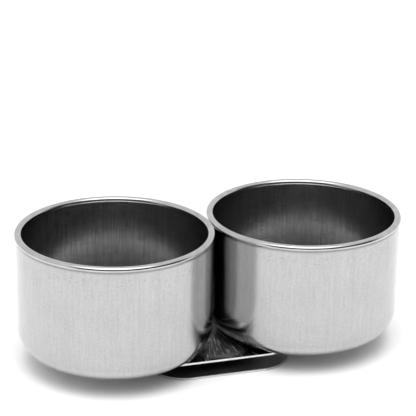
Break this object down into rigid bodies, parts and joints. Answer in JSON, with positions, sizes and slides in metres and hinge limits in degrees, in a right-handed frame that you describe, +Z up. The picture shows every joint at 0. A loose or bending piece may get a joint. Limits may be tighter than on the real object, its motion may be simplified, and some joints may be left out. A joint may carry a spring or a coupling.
{
  "type": "double dipper palette cup",
  "caption": "Open palette cups in drawn steel with curled rims, side by side on a folded spring clip that slips over the edge of a painter's palette.",
  "frame": {"origin": "midway between the cups, on the surface that the lower leaf of the clip rests on", "axes": "+X to the right cup, -Y the way the clip's mouth faces, +Z up, the way the cups open"},
  "size_m": [0.09, 0.045, 0.032],
  "materials": {
    "cup_steel": "drawn, satin with fine upright lines",
    "clip_steel": "bright rolled strip with fine scratches",
    "weld_steel": "dull weld spots, a little darker than the sheet"
  },
  "bodies": {
    "cups": {"left_cup": "cup_steel", "right_cup": "cup_steel", "clip_plate": "clip_steel", "clip_fold": "clip_steel", "left_spot_welds": "weld_steel", "right_spot_welds": "weld_steel"},
    "leaf": {"clip_leaf": "clip_steel"}
  },
  "joints": [
    {"name": "leaf_spring", "type": "hinge", "parent": "cups", "child": "leaf", "pos_m": [0, 0.012, 0.0017], "axis": [1, 0, 0], "range_deg": [0, 8], "stiffness_Nm_per_rad": 1.5, "deforming": ["clip_fold"]}
  ]
}
